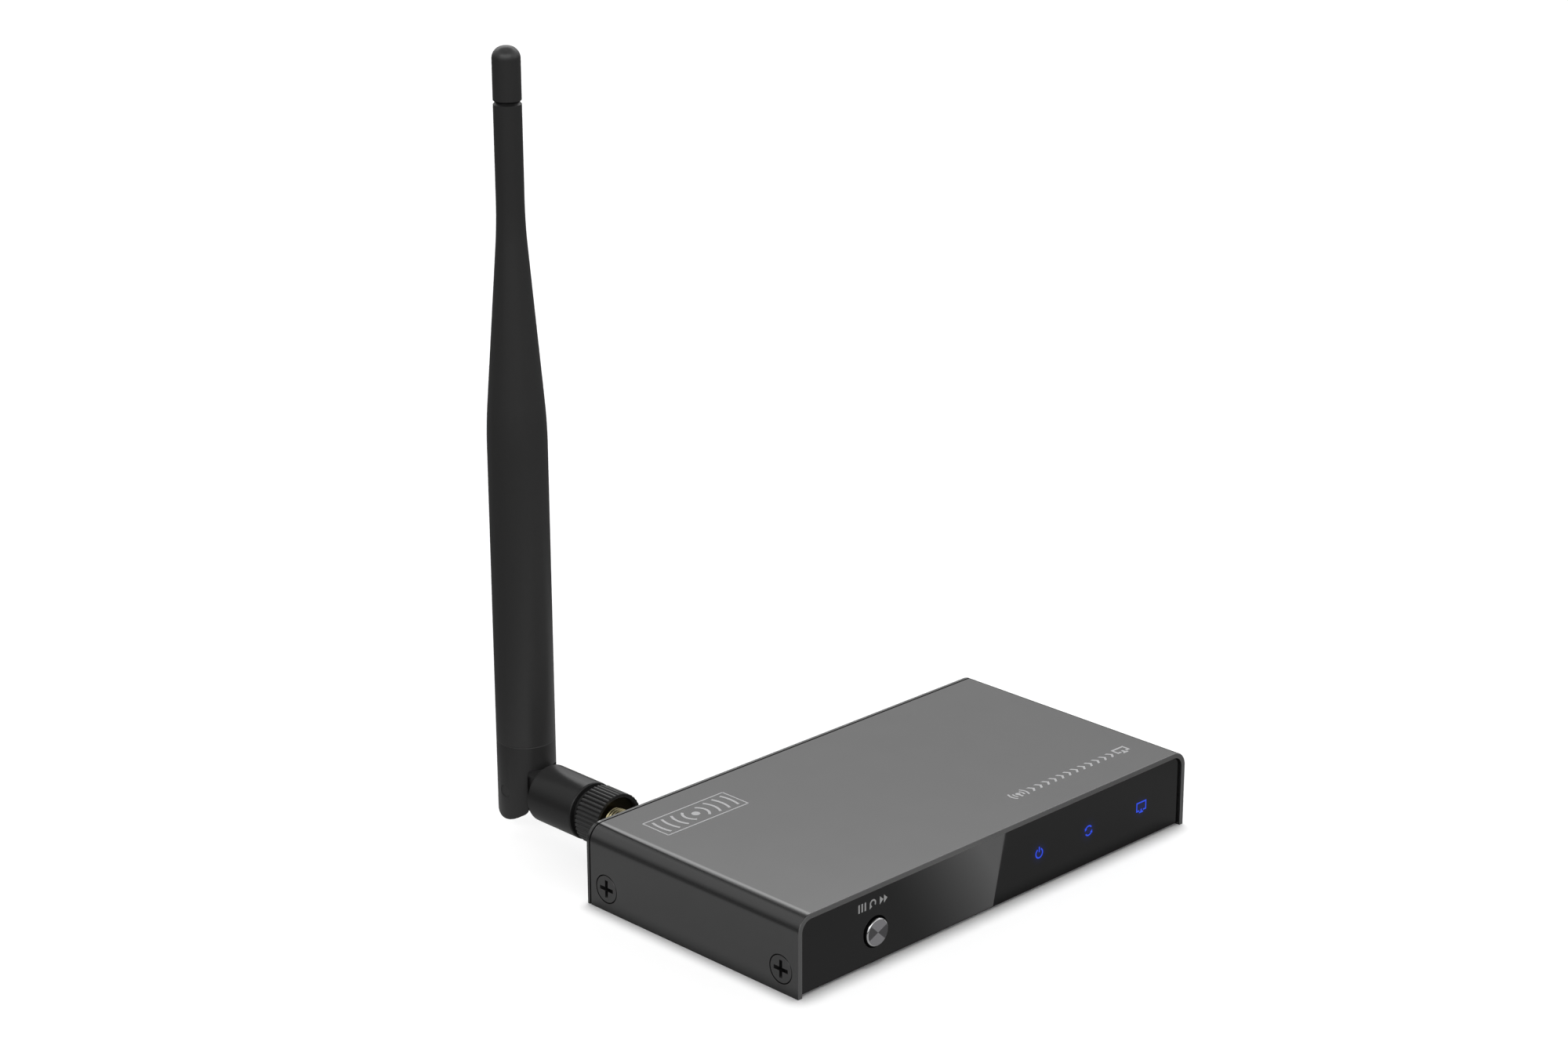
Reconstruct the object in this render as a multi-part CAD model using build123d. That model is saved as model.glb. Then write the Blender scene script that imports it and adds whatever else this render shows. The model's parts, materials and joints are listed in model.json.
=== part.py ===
from build123d import *
import os
from math import pi

# Wireless video receiver: a flat sheet-metal case with a hinged antenna behind it.
# Millimetres. +X right along the front, +Y to the rear, +Z up.
# The origin is the middle of the flat underside. The front looks along -Y.

# Enclosure
case_width, case_depth, case_height = 120.0, 62.8, 17.8
case_corner = 3.75
cover_sheet = 1.15
edge_round = 0.25
rear_wall = 0.8
rear_seam = 0.3
floor_sheet = 1.0
flange_height = 9.0
cover_gap = 0.1

# Front panel and its reset button
panel_recess, panel_thickness = 0.6, 1.5
panel_bottom = 0.4
tray_lip_gap, tray_lip = 0.3, 1.0
button_x, button_z = -37.4, 7.1
button_radius, button_hole_radius = 3.05, 3.5
button_proud = 0.75
stem_radius, plunger_radius = 1.5, 1.6
clip_xs = (-12.0, 36.0)

# Status lights, left to right
light_xs = (12.5, 28.4, 46.0)
light_z = 8.2
guide_width, guide_height = 4.4, 3.4
light_skin = 0.5

# Side screws, M3 countersunk
screw_z, screw_from_end = 5.13, 4.95
screw_head_radius, screw_sink_radius = 3.05, 3.15
screw_shank_radius, screw_length = 1.45, 5.0

# Main board
standoff_height = 2.6
board_thickness = 1.6
board_x, board_front, board_rear = 54.0, -26.0, 29.4
board_hole_xs, board_hole_ys = (-50.5, 50.5), (-19.0, 21.0)
spigot_radius = 2.0

# Processor and heatsink
processor_x, processor_y = 5.0, 0.0
heatsink_size, heatsink_base, fin_height, fin_count = 28.0, 1.8, 5.6, 9

# Radio module and the lead to the antenna jack
radio_x0, radio_x1, radio_y0, radio_y1 = -48.0, -22.0, -6.0, 18.0
radio_chip_x, radio_chip_y = -36.0, 4.0
lead_socket_x, lead_socket_y = -28.5, 15.5
lead_radius, lead_bend = 0.7, 7.5

# Sockets in the rear wall
video_x, video_half_width, video_half_height = 8.0, 7.4, 2.65
power_x, power_above_board = 38.0, 6.5
power_ring_radius, power_bore_radius, power_pin_radius = 4.0, 3.15, 1.0

# Antenna jack and plug, both on one axis along Y
antenna_x, antenna_z = -41.8, 9.3
thread_radius = 3.175
jack_end = 47.0
nut_radius, nut_front, nut_rear = 6.5, 41.7, 48.6
nut_ridges, ridge_depth, ridge_phase = 40, 0.25, 6.0
running_fit = 0.05

# Antenna elbow, hinge and whip; heights are above the hinge pin
hinge_y = 71.7
whip_radius = 6.5
elbow_front, elbow_rear = 50.2, 64.15
pin_radius = 1.4
slot_half_width, slot_top = 4.1, 5.5
tongue_half_width, tongue_radius = 3.7, 4.2
elbow_rear_round = 0.3
seam_height = 11.0
cone_low, cone_high, cone_blend = 83.2, 127.0, 126.0
tip_radius, groove_height, groove_depth = 3.02, 152.9, 0.45
tip_height = 164.6

# Worked out from the values above
front_y, rear_y = -case_depth / 2, case_depth / 2
wall_y = rear_y - rear_wall
cover_rear = wall_y - rear_seam
panel_front = front_y + panel_recess
panel_back = panel_front + panel_thickness
inner_half = case_width / 2 - cover_sheet
inner_top = case_height - cover_sheet
board_low = floor_sheet + standoff_height
board_top = board_low + board_thickness
lip_back = panel_back + tray_lip_gap + tray_lip
heatsink_low = board_top + 1.9
radio_top = board_top + 0.8
lead_height = radio_top + 1.7
video_mid = board_top + 0.25 + video_half_height
power_z = board_top + power_above_board
screw_ys = (front_y + screw_from_end, cover_rear - screw_from_end)
board_holes = [(x, y) for x in board_hole_xs for y in board_hole_ys]


def block(x0, x1, y0, y1, z0, z1):
    centre = Pos((x0 + x1) / 2, (y0 + y1) / 2, (z0 + z1) / 2)
    return centre * Box(x1 - x0, y1 - y0, z1 - z0)


def slab(x, y, width, depth, z0, height):
    return block(x - width / 2, x + width / 2, y - depth / 2, y + depth / 2, z0, z0 + height)


def rod_x(radius, x0, x1, y, z):
    return Pos((x0 + x1) / 2, y, z) * Rot(0, 90, 0) * Cylinder(radius, x1 - x0)


def rod_y(radius, y0, y1, x=antenna_x, z=antenna_z):
    return Pos(x, (y0 + y1) / 2, z) * Rot(90, 0, 0) * Cylinder(radius, y1 - y0)


def rod_z(radius, x, y, z0, z1):
    return Pos(x, y, (z0 + z1) / 2) * Cylinder(radius, z1 - z0)


def ring_y(outer, inner, y0, y1, x=antenna_x, z=antenna_z):
    return rod_y(outer, y0, y1, x, z) - rod_y(inner, y0 - 1, y1 + 1, x, z)


def hexagon_y(across, y0, y1):
    outline = RegularPolygon(across / 2, 6, major_radius=False)
    place = Plane((antenna_x, y1, antenna_z), x_dir=(1, 0, 0), z_dir=(0, -1, 0))
    return extrude(place * outline, amount=y1 - y0)


def on_whip(radius_height_points):
    """Solid of revolution about the whip, from (radius, height above the pin) points."""
    outline = make_face(Polyline(*radius_height_points, close=True))
    return Pos(antenna_x, hinge_y, antenna_z) * revolve(Plane.XZ * outline, Axis.Z)


def case_prism(half_width, bottom, top, corner, y0, y1):
    """Slab across the case with its two upper corners rounded."""
    outline = Pos(0, (bottom + top) / 2) * Rectangle(2 * half_width, top - bottom)
    outline = fillet(outline.vertices().group_by(Axis.Y)[-1], corner)
    place = Plane((0, y1, 0), x_dir=(1, 0, 0), z_dir=(0, -1, 0))
    return extrude(place * outline, amount=y1 - y0)


def round_end(solid, end_face, radius, above):
    """Rounds the rim of an end face, leaving its lowest edge sharp."""
    rim = [edge for edge in end_face.edges() if edge.center().Z > above]
    return fillet(rim, radius)


# Enclosure

def top_cover():
    shell = case_prism(case_width / 2, 0, case_height, case_corner, front_y, cover_rear)
    shell = round_end(shell, shell.faces().sort_by(Axis.Y)[0], edge_round, 0.1)
    shell = round_end(shell, shell.faces().sort_by(Axis.Y)[-1], edge_round, 0.1)
    inner_corner = case_corner - cover_sheet
    shell -= case_prism(inner_half, -1, inner_top, inner_corner, front_y - 1, cover_rear + 1)
    for side in (-1, 1):
        for y in screw_ys:
            sink = Cone(screw_sink_radius - cover_sheet, screw_sink_radius, cover_sheet)
            middle = side * (case_width / 2 - cover_sheet / 2)
            shell -= Pos(middle, y, screw_z) * Rot(0, 90 * side, 0) * sink
    return shell


def base_tray():
    floor_half = inner_half - cover_gap
    tray = block(-floor_half, floor_half, lip_back - tray_lip, wall_y, 0, floor_sheet)
    wall = case_prism(case_width / 2, 0, case_height, case_corner, wall_y, rear_y)
    tray += round_end(wall, wall.faces().sort_by(Axis.Y)[-1], 0.2, 0.1)
    tray += block(-50, 50, lip_back - tray_lip, lip_back, 0, 3.5)
    tray -= block(button_x - 5, button_x + 5, -case_depth, lip_back + 0.5, 2.6, 4)
    for side in (-1, 1):
        inside = side * (floor_half - floor_sheet)
        x0, x1 = sorted((inside, side * floor_half))
        tray += block(x0, x1, lip_back, wall_y - 1.0, 0, flange_height)
        for y in screw_ys:
            tray -= rod_x(screw_shank_radius + running_fit, x0 - 1, x1 + 1, y, screw_z)
    for x, y in board_holes:
        tray -= rod_z(spigot_radius + 0.02, x, y, -1, floor_sheet + 1)
    tray -= rod_y(thread_radius + 0.075, wall_y - 1, rear_y + 1)
    tray -= video_outline(0.35, wall_y - 1, rear_y + 1)
    tray -= rod_y(power_ring_radius + 0.1, wall_y - 1, rear_y + 1, power_x, power_z)
    return tray


def clinch_nuts():
    face = inner_half - cover_gap - floor_sheet
    nuts = []
    for side in (-1, 1):
        x0, x1 = sorted((side * face, side * (face - 2.0)))
        for y in screw_ys:
            nut = rod_x(2.7, x0, x1, y, screw_z)
            nuts.append(nut - rod_x(screw_shank_radius + running_fit, x0 - 1, x1 + 1, y, screw_z))
    return nuts


def cover_screw(side, y):
    outer = case_width / 2
    head = Cone(screw_head_radius - cover_sheet, screw_head_radius, cover_sheet)
    screw = Pos(outer - cover_sheet / 2, 0, 0) * Rot(0, 90, 0) * head
    screw += rod_x(screw_shank_radius, outer - screw_length, outer - cover_sheet, 0, 0)
    for turn in (0, 90):
        screw -= Pos(outer, 0, 0) * Rot(turn, 0, 0) * Box(1.7, 4.0, 0.75)
    return Pos(0, y, screw_z) * Rot(0, 0, 0 if side > 0 else 180) * screw


def cover_screws():
    return [cover_screw(side, y) for side in (-1, 1) for y in screw_ys]


# Front panel, lights and reset button

def front_panel():
    half, top = inner_half - cover_gap, inner_top - cover_gap
    corner = case_corner - cover_sheet - cover_gap
    panel = case_prism(half, panel_bottom, top, corner, panel_front, panel_back)
    panel = fillet(panel.faces().sort_by(Axis.Y)[0].edges(), edge_round)
    panel -= rod_y(button_hole_radius, panel_front - 1, panel_back + 1, button_x, button_z)
    for x in light_xs:
        depth = panel_thickness - light_skin
        panel -= slab(x, panel_back, guide_width + 0.2, 2 * depth, light_z - guide_height / 2 - 0.1,
                      guide_height + 0.2)
    for x in clip_xs:
        panel += block(x - 3, x + 3, panel_back, lip_back + 0.8, 3.7, 5.0)
        panel += block(x - 3, x + 3, lip_back + 0.2, lip_back + 0.8, 2.7, 3.7)
    return panel


def light_guides():
    low, high = light_z - guide_height / 2, light_z + guide_height / 2
    back = board_front + 2.6
    guides = []
    for x in light_xs:
        guide = block(x - guide_width / 2, x + guide_width / 2, panel_front + light_skin + 0.1, back,
                      low, high)
        slope = guide.edges().filter_by(Axis.X).sort_by(lambda e: e.center().Y + e.center().Z)[-1]
        guides.append(chamfer(slope, guide_height - 0.6))
    return guides


def light_guide_holder():
    front = panel_back + 1.5
    left, right = light_xs[0] - 4.5, light_xs[-1] + 4.5
    holder = block(left, right, front, front + 1.3, board_top, light_z + 2.8)
    for x in (light_xs[0] + 8.0, light_xs[-1] - 8.0):
        holder += block(x - 2, x + 2, front + 1.3, board_front + 5.0, board_top, board_top + 1.8)
    for x in light_xs:
        holder -= slab(x, front, guide_width + 0.1, 6.0, light_z - guide_height / 2 - 0.05,
                       guide_height + 0.1)
    return holder


def status_leds():
    leds = []
    for x in light_xs:
        body = slab(x, board_front + 1.4, 2.0, 1.25, board_top, 0.5)
        lens = slab(x, board_front + 1.4, 1.4, 1.0, board_top + 0.5, 0.35)
        leds.append(body + lens)
    return leds


def reset_button_cap():
    front, back = panel_front - button_proud, panel_back + 0.2
    cap = rod_y(button_radius, front, back, button_x, button_z)
    rim = cap.faces().sort_by(Axis.Y)[0].edges()
    cap = chamfer(rim, 0.25)
    cap += rod_y(button_hole_radius + 0.5, back, back + 0.5, button_x, button_z)
    return cap - rod_y(stem_radius + 0.02, panel_front + 0.2, back + 1.5, button_x, button_z)


def reset_button_stem():
    return rod_y(stem_radius, panel_front + 0.3, board_front - 0.3, button_x, button_z)


def reset_switch_plunger():
    return rod_y(plunger_radius, board_front - 0.25, board_front + 1.8, button_x, button_z)


def reset_switch_body():
    front = board_front + 1.0
    body = slab(button_x, front + 1.75, 6.0, 3.5, board_top, 2 * (button_z - board_top))
    bore = rod_y(plunger_radius + running_fit, front - 1, front + 1.7, button_x, button_z)
    return body - bore


# Main board and what it carries

def main_board():
    board = block(-board_x, board_x, board_front, board_rear, board_low, board_top)
    board -= block(antenna_x - 6, antenna_x + 6, 24.0, board_rear + 1, 0, 10)
    for x, y in board_holes:
        board -= rod_z(1.35, x, y, 0, 10)
    for x, y in heatsink_pin_places():
        board -= rod_z(1.3, x, y, 0, 10)
    return board


def board_standoffs():
    posts = []
    for x, y in board_holes:
        hexagon = RegularPolygon(2.5, 6, major_radius=False)
        post = Pos(x, y, floor_sheet) * extrude(hexagon, amount=standoff_height)
        post += rod_z(spigot_radius, x, y, 0.02, floor_sheet)
        posts.append(post - rod_z(1.05, x, y, 0.9, board_low + 1))
    return posts


def board_screws():
    screws = []
    for x, y in board_holes:
        head = rod_z(2.3, x, y, board_top, board_top + 1.5)
        head = fillet(head.faces().sort_by(Axis.Z)[-1].edges(), 0.7)
        screw = head + rod_z(1.02, x, y, 1.2, board_top)
        for turn in (0, 90):
            screw -= Pos(x, y, board_top + 1.5) * Rot(0, 0, turn) * Box(2.4, 0.5, 1.6)
        screws.append(screw)
    return screws


def insulation_sheet():
    sheet = block(-54, 54, -24, 26, floor_sheet, floor_sheet + 0.2)
    for x, y in board_holes:
        sheet -= rod_z(3.2, x, y, 0, 3)
    return sheet


def heatsink_pin_places():
    reach = heatsink_size / 2 - 2.6
    return [(processor_x - reach, processor_y + reach), (processor_x + reach, processor_y - reach)]


def main_processor():
    package = slab(processor_x, processor_y, 17, 17, board_top, 0.8)
    return package + slab(processor_x, processor_y, 14.5, 14.5, board_top + 0.8, 0.6)


def thermal_pad():
    return slab(processor_x, processor_y, 14, 14, board_top + 1.4, 0.5)


def heatsink():
    base_top = heatsink_low + heatsink_base
    sink = slab(processor_x, processor_y, heatsink_size, heatsink_size, heatsink_low, heatsink_base)
    pitch = (heatsink_size - 1.0) / (fin_count - 1)
    for index in range(fin_count):
        x = processor_x - heatsink_size / 2 + 0.5 + index * pitch
        sink += slab(x, processor_y, 1.0, heatsink_size, base_top, fin_height)
    for x, y in heatsink_pin_places():
        sink -= rod_z(2.6, x, y, base_top, base_top + fin_height + 1)
        sink -= rod_z(1.3, x, y, 0, base_top + 0.5)
    return sink


def heatsink_pins():
    top = heatsink_low + heatsink_base
    pins = []
    for x, y in heatsink_pin_places():
        pin = rod_z(1.2, x, y, board_low - 0.6, top) + rod_z(2.3, x, y, top, top + 1.2)
        pins.append(pin)
    return pins


def memory_chips():
    return [slab(27.5, y, 9, 12, board_top, 1.1) for y in (-7.5, 7.5)]


def firmware_chip():
    return slab(-15, -10, 8, 5.3, board_top, 1.6)


def clock_crystal():
    can = slab(-15, 2, 4.6, 11, board_top, 3.4)
    return fillet(can.edges().filter_by(Axis.Z), 2.2)


def power_inductors():
    coils = []
    for y in (-8.0, 2.0):
        coil = slab(40, y, 7, 7, board_top, 3.4)
        coils.append(chamfer(coil.edges().filter_by(Axis.Z), 1.6))
    return coils


def smoothing_capacitors():
    cans = []
    for x, y in ((50.0, -6.0), (50.0, 4.0), (24.5, 22.0)):
        base = slab(x, y, 6.6, 6.6, board_top, 0.8)
        can = rod_z(3.15, x, y, board_top + 0.8, board_top + 7.5)
        cans.append(base + fillet(can.faces().sort_by(Axis.Z)[-1].edges(), 0.4))
    return cans


# Radio module, its lead and the antenna jack

def radio_board():
    return block(radio_x0, radio_x1, radio_y0, radio_y1, board_top, radio_top)


def radio_chip():
    return slab(radio_chip_x, radio_chip_y, 9, 9, radio_top, 0.9)


def radio_shield():
    can = slab(radio_chip_x, radio_chip_y, 20, 16, radio_top, 2.6)
    can = fillet(can.edges().filter_by(Axis.Z), 0.8)
    return can - slab(radio_chip_x, radio_chip_y, 19.4, 15.4, radio_top - 1, 3.3)


def radio_antenna_socket():
    x, y = lead_socket_x, lead_socket_y
    return slab(x, y, 3, 3, radio_top, 0.3) + rod_z(1.0, x, y, radio_top + 0.3, radio_top + 0.6)


def lead_plug():
    x, y = lead_socket_x, lead_socket_y
    cap = rod_z(1.7, x, y, radio_top + 0.6, radio_top + 2.3)
    return cap + rod_x(1.0, x - 3.0, x, y, lead_height)


def antenna_lead():
    start = (antenna_x, 26.2, antenna_z)
    corner = (antenna_x, lead_socket_y, antenna_z)
    end = (lead_socket_x - 3.0, lead_socket_y, lead_height)
    route = FilletPolyline(start, corner, end, radius=lead_bend)
    start = Plane(origin=route @ 0, z_dir=route % 0)
    lead = sweep(start * Circle(lead_radius), path=route)
    print("antenna lead: bend radius", lead_bend, "length", round(route.length, 2),
          "volume", round(lead.volume, 2), "of", round(route.length * pi * lead_radius**2, 2))
    return lead


def lead_ferrule():
    return ring_y(1.5, lead_radius + 0.15, 23.6, 26.4)


def antenna_jack_body():
    jack = rod_y(2.4, 26.5, 28.2) + hexagon_y(8.0, 28.2, wall_y - 0.1)
    jack += rod_y(thread_radius, wall_y - 0.1, jack_end)
    jack -= rod_y(2.05, 25, jack_end - 2.0)
    return jack - rod_y(2.34, jack_end - 2.0, jack_end + 1)


def antenna_jack_insulator():
    return ring_y(2.0, 0.5, 26.6, jack_end - 3.0)


def antenna_jack_pin():
    return rod_y(0.46, 26.7, jack_end - 0.8)


def jack_lock_washer():
    return ring_y(5.0, thread_radius + 0.075, rear_y, rear_y + 0.6)


def jack_panel_nut():
    nut = hexagon_y(8.0, rear_y + 0.6, rear_y + 2.8)
    return nut - rod_y(thread_radius + running_fit, rear_y, rear_y + 4)


# Sockets in the rear wall

def video_outline(grow, y0, y1):
    """Wide-topped socket outline, lower corners cut away, grown outward by an allowance."""
    w, h, cut = video_half_width + grow, video_half_height + grow, 1.9
    points = [(-w, h), (w, h), (w, -h + cut), (w - cut, -h), (-w + cut, -h), (-w, -h + cut)]
    place = Plane((video_x, y1, video_mid), x_dir=(1, 0, 0), z_dir=(0, -1, 0))
    return extrude(place * make_face(Polyline(*points, close=True)), amount=y1 - y0)


def video_socket_shell():
    front = rear_y - 0.2
    shell = video_outline(0, 20.0, front)
    return shell - video_outline(-0.35, 20.35, front + 1)


def video_socket_insulator():
    block_part = video_outline(-0.4, 20.4, 23.0)
    low, high = video_mid + 0.2, video_mid + 1.3
    return block_part + block(video_x - 5.9, video_x + 5.9, 23.0, rear_y - 1.0, low, high)


def video_socket_contacts():
    contacts = []
    for row, count in ((video_mid + 1.3, 10), (video_mid + 0.05, 9)):
        for index in range(count):
            x = video_x + (index - (count - 1) / 2) * 1.0
            contacts.append(slab(x, 26.5, 0.35, 6.8, row, 0.15))
    return contacts


def power_jack_body():
    body = block(power_x - 4.5, power_x + 4.5, 17.5, wall_y - 0.2, board_top, board_top + 10.8)
    body += rod_y(power_ring_radius, wall_y - 0.2, rear_y - 0.1, power_x, power_z)
    body -= rod_y(power_bore_radius, 21.5, rear_y + 1, power_x, power_z)
    body -= block(power_x - 1.3, power_x + 1.3, 21.5, 29.5, power_z - 3.9, power_z)
    return body - rod_y(power_pin_radius + running_fit, 16, 22, power_x, power_z)


def power_jack_pin():
    pin = rod_y(power_pin_radius, 17.6, rear_y - 1.2, power_x, power_z)
    return fillet(pin.faces().sort_by(Axis.Y)[-1].edges(), 0.5)


def power_jack_spring():
    return block(power_x - 1.0, power_x + 1.0, 21.8, 29.2, power_z - 3.5, power_z - 3.2)


# Coupling nut

def coupling_nut_shell():
    shell = rod_y(nut_radius, nut_front, nut_rear)
    shell = chamfer(shell.edges().filter_by(GeomType.CIRCLE), 0.3)
    groove_radius = 0.36
    for index in range(nut_ridges):
        turn = ridge_phase + (index + 0.5) * 360 / nut_ridges
        groove = Rot(90, 0, 0) * Cylinder(groove_radius, nut_rear - nut_front + 2)
        at = Pos(nut_radius + groove_radius - ridge_depth, 0, 0) * groove
        mid = (nut_front + nut_rear) / 2
        shell -= Pos(antenna_x, mid, antenna_z) * Rot(0, -turn, 0) * at
    shell -= rod_y(5.6, nut_front - 1, nut_front + 1.8)
    return shell - rod_y(4.6, nut_front, nut_rear + 1)


def coupling_nut_insert():
    insert = rod_y(5.58, nut_front + 1.0, nut_front + 1.8)
    insert += rod_y(4.58, nut_front + 1.8, nut_rear - 0.2)
    insert -= rod_y(thread_radius + running_fit, nut_front, jack_end + 0.8)
    return insert - rod_y(2.42, jack_end, nut_rear + 1)


# Antenna elbow

def plug_barrel():
    barrel = rod_y(2.28, jack_end - 1.95, jack_end + 0.05)
    barrel += rod_y(3.05, jack_end + 0.05, jack_end + 0.65)
    barrel += rod_y(2.28, jack_end + 0.65, elbow_front + 2.0)
    return barrel - rod_y(1.5, jack_end - 3, elbow_front + 3)


def plug_insulator():
    return ring_y(1.45, 0.75, jack_end - 1.9, elbow_front + 1.9)


def plug_contact():
    contact = rod_y(0.7, jack_end - 1.8, elbow_front + 3.5)
    return contact - rod_y(0.5, jack_end - 3, jack_end + 0.5)


def elbow_base():
    body = rod_y(whip_radius, elbow_front, elbow_rear)
    body = fillet(body.faces().sort_by(Axis.Y)[-1].edges(), elbow_rear_round)
    body = fillet(body.faces().sort_by(Axis.Y)[0].edges(), 0.35)
    body += rod_y(5.3, nut_rear + 0.3, elbow_front + 0.5)
    left, right = antenna_x - tongue_half_width, antenna_x + tongue_half_width
    low, high = antenna_z - tongue_radius, antenna_z + tongue_radius
    body += block(left, right, elbow_rear - 1.5, hinge_y, low, high)
    body += rod_x(tongue_radius, left, right, hinge_y, antenna_z)
    body -= rod_x(pin_radius + running_fit, left - 1, right + 1, hinge_y, antenna_z)
    body -= rod_y(2.3, nut_rear - 1, elbow_front + 2.1)
    return body - rod_y(0.9, elbow_front + 1, elbow_front + 8.0)


# Whip

def hinge_pin():
    reach = whip_radius - 0.2
    return rod_x(pin_radius, antenna_x - reach, antenna_x + reach, hinge_y, antenna_z)


def hinge_knuckle():
    side = block(-20, 20, -whip_radius, whip_radius, 0, seam_height)
    side += rod_x(whip_radius, -20, 20, 0, 0)
    knuckle = side & rod_z(whip_radius, 0, 0, -whip_radius, seam_height)
    knuckle = chamfer(knuckle.faces().sort_by(Axis.Z)[-1].edges(), 0.12)
    knuckle += rod_z(5.1, 0, 0, seam_height - 1, seam_height + 8)
    knuckle -= block(-slot_half_width, slot_half_width, -10, 10, -10, slot_top)
    knuckle -= rod_x(pin_radius + 0.02, -10, 10, 0, 0)
    knuckle -= rod_z(0.65, 0, 0, seam_height + 2, seam_height + 10)
    return Pos(antenna_x, hinge_y, antenna_z) * knuckle


def whip_sleeve():
    points = [(0, seam_height), (whip_radius, seam_height), (whip_radius, cone_low),
              (tip_radius, cone_high), (tip_radius, groove_height), (0, groove_height)]
    outline = make_face(Polyline(*points, close=True))
    bends = [v for v in outline.vertices() if cone_low - 1 < v.Y < cone_high + 1]
    outline = fillet(bends, cone_blend)
    sleeve = revolve(Plane.XZ * outline, Axis.Z)
    seam_edges = sleeve.faces().sort_by(Axis.Z)[0].edges()
    sleeve = chamfer(seam_edges, 0.12)
    sleeve = chamfer(sleeve.faces().sort_by(Axis.Z)[-1].edges(), groove_depth)
    sleeve = Pos(antenna_x, hinge_y, antenna_z) * sleeve
    bore = [(0, seam_height - 1), (5.15, seam_height - 1), (5.15, 80), (1.9, 124),
            (1.9, groove_height + 1), (0, groove_height + 1)]
    return sleeve - on_whip(bore)


def whip_tip_cap():
    cap = Cylinder(tip_radius, tip_height - groove_height)
    cap = Pos(0, 0, (tip_height + groove_height) / 2) * cap
    cap = chamfer(cap.faces().sort_by(Axis.Z)[0].edges(), groove_depth)
    cap = fillet(cap.faces().sort_by(Axis.Z)[-1].edges(), tip_radius - 0.35)
    cap += rod_z(1.85, 0, 0, groove_height - 4, groove_height + 1)
    return Pos(antenna_x, hinge_y, antenna_z) * cap


def radiator_rod():
    return on_whip([(0, seam_height + 2.1), (0.6, seam_height + 2.1), (0.6, 146), (0, 146)])


def choke_sleeve():
    return on_whip([(0.65, 40), (2.6, 40), (2.6, 72), (2.2, 72), (2.2, 40.6), (0.65, 40.6)])


def radiator_spacers():
    return [on_whip([(2.65, low), (5.1, low), (5.1, low + 2), (2.65, low + 2)]) for low in (46, 64)]


nodes = [
    top_cover, base_tray, clinch_nuts, cover_screws,
    front_panel, light_guides, light_guide_holder, status_leds,
    reset_button_cap, reset_button_stem, reset_switch_plunger, reset_switch_body,
    main_board, board_standoffs, board_screws, insulation_sheet,
    main_processor, thermal_pad, heatsink, heatsink_pins,
    memory_chips, firmware_chip, clock_crystal, power_inductors, smoothing_capacitors,
    radio_board, radio_chip, radio_shield, radio_antenna_socket,
    lead_plug, antenna_lead, lead_ferrule,
    antenna_jack_body, antenna_jack_insulator, antenna_jack_pin,
    jack_lock_washer, jack_panel_nut,
    video_socket_shell, video_socket_insulator, video_socket_contacts,
    power_jack_body, power_jack_pin, power_jack_spring,
    coupling_nut_shell, coupling_nut_insert,
    plug_barrel, plug_insulator, plug_contact, elbow_base,
    hinge_pin, hinge_knuckle, whip_sleeve, whip_tip_cap,
    radiator_rod, choke_sleeve, radiator_spacers,
]

os.makedirs("parts", exist_ok=True)
for make in nodes:
    made = make()
    solids = made if isinstance(made, list) else made.solids()
    export_step(Compound(children=list(solids)), f"parts/{make.__name__}.step")
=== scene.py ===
import json
from math import ceil, cos, e, hypot, pi, radians, sin, tan

import bmesh
import bpy
from mathutils import Matrix, Vector

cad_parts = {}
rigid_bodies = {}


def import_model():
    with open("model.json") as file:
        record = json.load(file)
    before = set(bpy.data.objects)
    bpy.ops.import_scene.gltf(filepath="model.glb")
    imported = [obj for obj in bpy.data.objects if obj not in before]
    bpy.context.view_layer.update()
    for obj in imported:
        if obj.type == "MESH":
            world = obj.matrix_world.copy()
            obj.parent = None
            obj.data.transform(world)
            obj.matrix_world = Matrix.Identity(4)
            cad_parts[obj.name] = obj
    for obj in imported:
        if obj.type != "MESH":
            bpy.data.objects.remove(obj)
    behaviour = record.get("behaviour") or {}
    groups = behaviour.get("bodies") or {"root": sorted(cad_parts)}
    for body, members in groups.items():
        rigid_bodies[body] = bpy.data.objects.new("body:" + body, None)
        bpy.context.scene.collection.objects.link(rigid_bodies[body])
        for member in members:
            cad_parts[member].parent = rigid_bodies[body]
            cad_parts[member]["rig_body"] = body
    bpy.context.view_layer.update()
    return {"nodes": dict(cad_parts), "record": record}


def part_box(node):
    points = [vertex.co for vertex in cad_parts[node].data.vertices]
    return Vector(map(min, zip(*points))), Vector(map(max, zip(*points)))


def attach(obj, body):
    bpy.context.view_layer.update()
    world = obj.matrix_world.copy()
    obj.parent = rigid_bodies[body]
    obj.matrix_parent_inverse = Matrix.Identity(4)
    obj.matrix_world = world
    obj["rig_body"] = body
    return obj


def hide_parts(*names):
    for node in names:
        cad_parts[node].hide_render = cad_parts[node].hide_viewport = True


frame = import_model()
mm = 0.001
print("frame loaded:", len(frame["nodes"]), "nodes")


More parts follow.
